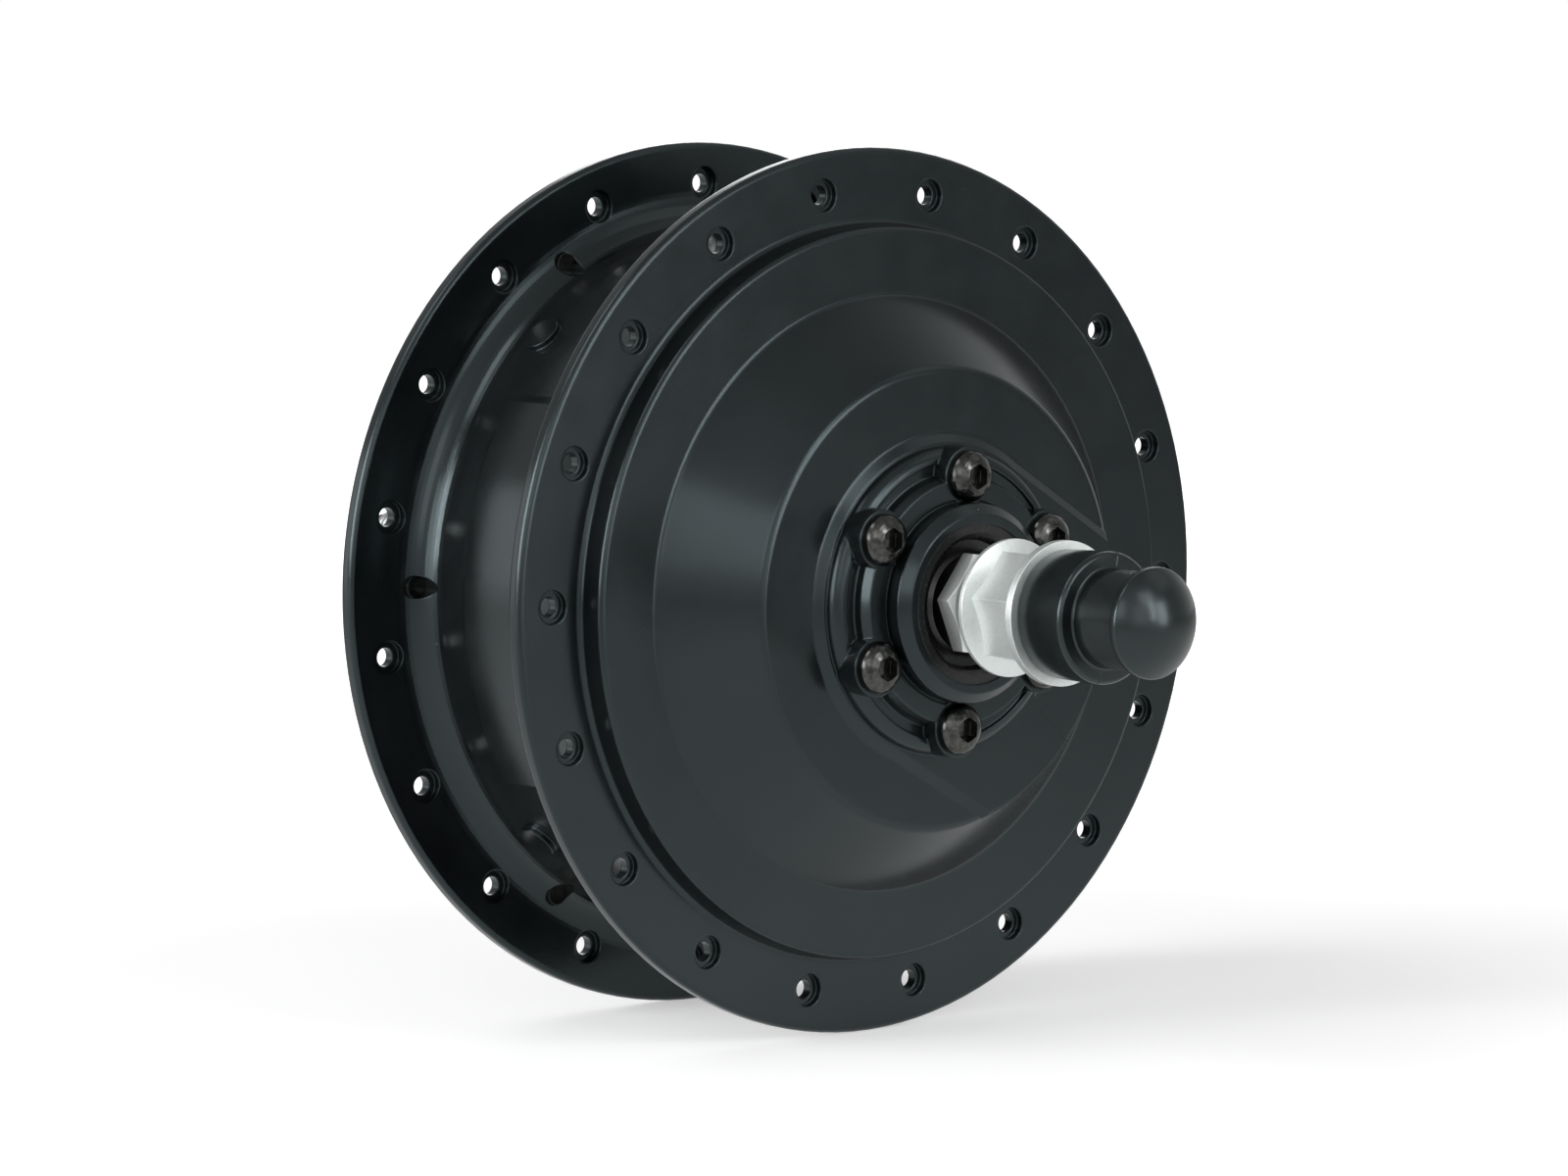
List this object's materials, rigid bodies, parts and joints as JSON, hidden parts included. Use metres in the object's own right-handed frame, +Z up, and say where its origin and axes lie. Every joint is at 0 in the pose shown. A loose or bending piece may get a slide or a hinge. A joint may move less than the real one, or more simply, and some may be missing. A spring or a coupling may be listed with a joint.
{
  "type": "geared rear hub motor",
  "caption": "Geared rear wheel hub motor for a bicycle, with a brake disc boss, spoke flanges, a screw-on freewheel boss and a threaded axle.",
  "frame": {"origin": "middle of the axle, half way between the two lock nut faces, which is also the middle of the bounding box", "axes": "+Y along the axle towards the freewheel side, -Y towards the disc brake side, +Z up"},
  "size_m": [0.1568, 0.225, 0.1568],
  "materials": {
    "black_paint": "satin black paint on cast aluminium, fine casting texture",
    "zinc_plate": "matte bright zinc plating",
    "axle_steel": "turned steel, threaded ends",
    "cap_plastic": "semi-gloss moulded black plastic",
    "black_screws": "glossy black zinc on steel screws",
    "seal_rubber": "smooth black nitrile rubber",
    "grommet_rubber": "black rubber",
    "bearing_steel": "ground bearing steel",
    "black_steel": "black oxide on turned steel",
    "bright_steel": "bright steel",
    "spring_steel": "phosphated spring steel",
    "lamination_steel": "stacked electrical steel",
    "winding_wire": "enamelled copper wire",
    "cast_aluminium": "cast and turned aluminium",
    "circuit_board": "green circuit board",
    "sensor_plastic": "black moulded sensor",
    "bronze": "sintered bronze",
    "gear_steel": "hardened gear steel",
    "gear_nylon": "natural nylon",
    "bell_steel": "drawn steel bell",
    "magnet": "nickel-plated magnets"
  },
  "bodies": {
    "axle": {"axle": "axle_steel", "disc_lock_nut": "zinc_plate", "disc_sleeve": "black_steel", "disc_axle_nut": "zinc_plate", "disc_washer": "zinc_plate", "axle_cap": "cap_plastic", "drive_lock_nut": "zinc_plate", "drive_sleeve": "axle_steel", "drive_axle_nut": "zinc_plate", "drive_washer": "zinc_plate", "cable_grommet": "grommet_rubber", "axle_keys": "bright_steel", "axle_circlips": "spring_steel", "stator_core": "lamination_steel", "stator_windings": "winding_wire", "stator_carrier": "cast_aluminium", "sensor_board": "circuit_board", "hall_sensors": "sensor_plastic", "board_screws": "bright_steel", "clutch_inner": "bearing_steel", "disc_bearing_inner": "bearing_steel", "drive_bearing_inner": "bearing_steel", "rotor_bearing_inner": "bearing_steel"},
    "shell": {"hub_shell": "black_paint", "side_cover": "black_paint", "cover_o_ring": "seal_rubber", "cover_screws": "black_screws", "rotor_screws": "black_screws", "disc_seal": "seal_rubber", "drive_seal": "seal_rubber", "ring_gear": "gear_steel", "ring_screws": "bright_steel", "disc_bearing_outer": "bearing_steel", "disc_bearing_balls": "bearing_steel", "drive_bearing_outer": "bearing_steel", "drive_bearing_balls": "bearing_steel"},
    "rotor": {"rotor_bell": "bell_steel", "rotor_magnets": "magnet", "sun_gear": "gear_steel", "sun_screws": "black_screws", "rotor_bearing_outer": "bearing_steel", "rotor_bearing_balls": "bearing_steel"},
    "carrier": {"clutch_outer": "bearing_steel", "clutch_rollers": "bearing_steel", "clutch_bush": "bronze", "planet_carrier": "cast_aluminium", "carrier_screws": "bright_steel", "planet_pins": "bearing_steel", "pin_circlips": "spring_steel", "planet_bearing_inner": "bearing_steel"},
    "planet_1": {"planet_gear_1": "gear_nylon", "planet_bearing_outer_1": "bearing_steel", "planet_bearing_balls_1": "bearing_steel"},
    "planet_2": {"planet_gear_2": "gear_nylon", "planet_bearing_outer_2": "bearing_steel", "planet_bearing_balls_2": "bearing_steel"},
    "planet_3": {"planet_gear_3": "gear_nylon", "planet_bearing_outer_3": "bearing_steel", "planet_bearing_balls_3": "bearing_steel"}
  },
  "joints": [
    {"name": "carrier_spin", "type": "hinge", "parent": "axle", "child": "carrier", "pos_m": [0, 0, 0], "axis": [0, 1, 0], "continuous": true},
    {"name": "shell_spin", "type": "hinge", "parent": "carrier", "child": "shell", "pos_m": [0, 0, 0], "axis": [0, 1, 0], "continuous": true},
    {"name": "rotor_spin", "type": "hinge", "parent": "carrier", "child": "rotor", "pos_m": [0, 0, 0], "axis": [0, 1, 0], "continuous": true},
    {"name": "planet_1_spin", "type": "hinge", "parent": "carrier", "child": "planet_1", "pos_m": [0, -0.03, 0.027], "axis": [0, 1, 0], "continuous": true},
    {"name": "planet_2_spin", "type": "hinge", "parent": "carrier", "child": "planet_2", "pos_m": [0.02338, -0.03, -0.0135], "axis": [0, 1, 0], "continuous": true},
    {"name": "planet_3_spin", "type": "hinge", "parent": "carrier", "child": "planet_3", "pos_m": [-0.02338, -0.03, -0.0135], "axis": [0, 1, 0], "continuous": true}
  ],
  "couplings": [
    {"joint": "rotor_spin", "follows": "shell_spin", "ratio": -5},
    {"joint": "planet_1_spin", "follows": "shell_spin", "ratio": 2.5},
    {"joint": "planet_2_spin", "follows": "shell_spin", "ratio": 2.5},
    {"joint": "planet_3_spin", "follows": "shell_spin", "ratio": 2.5}
  ]
}
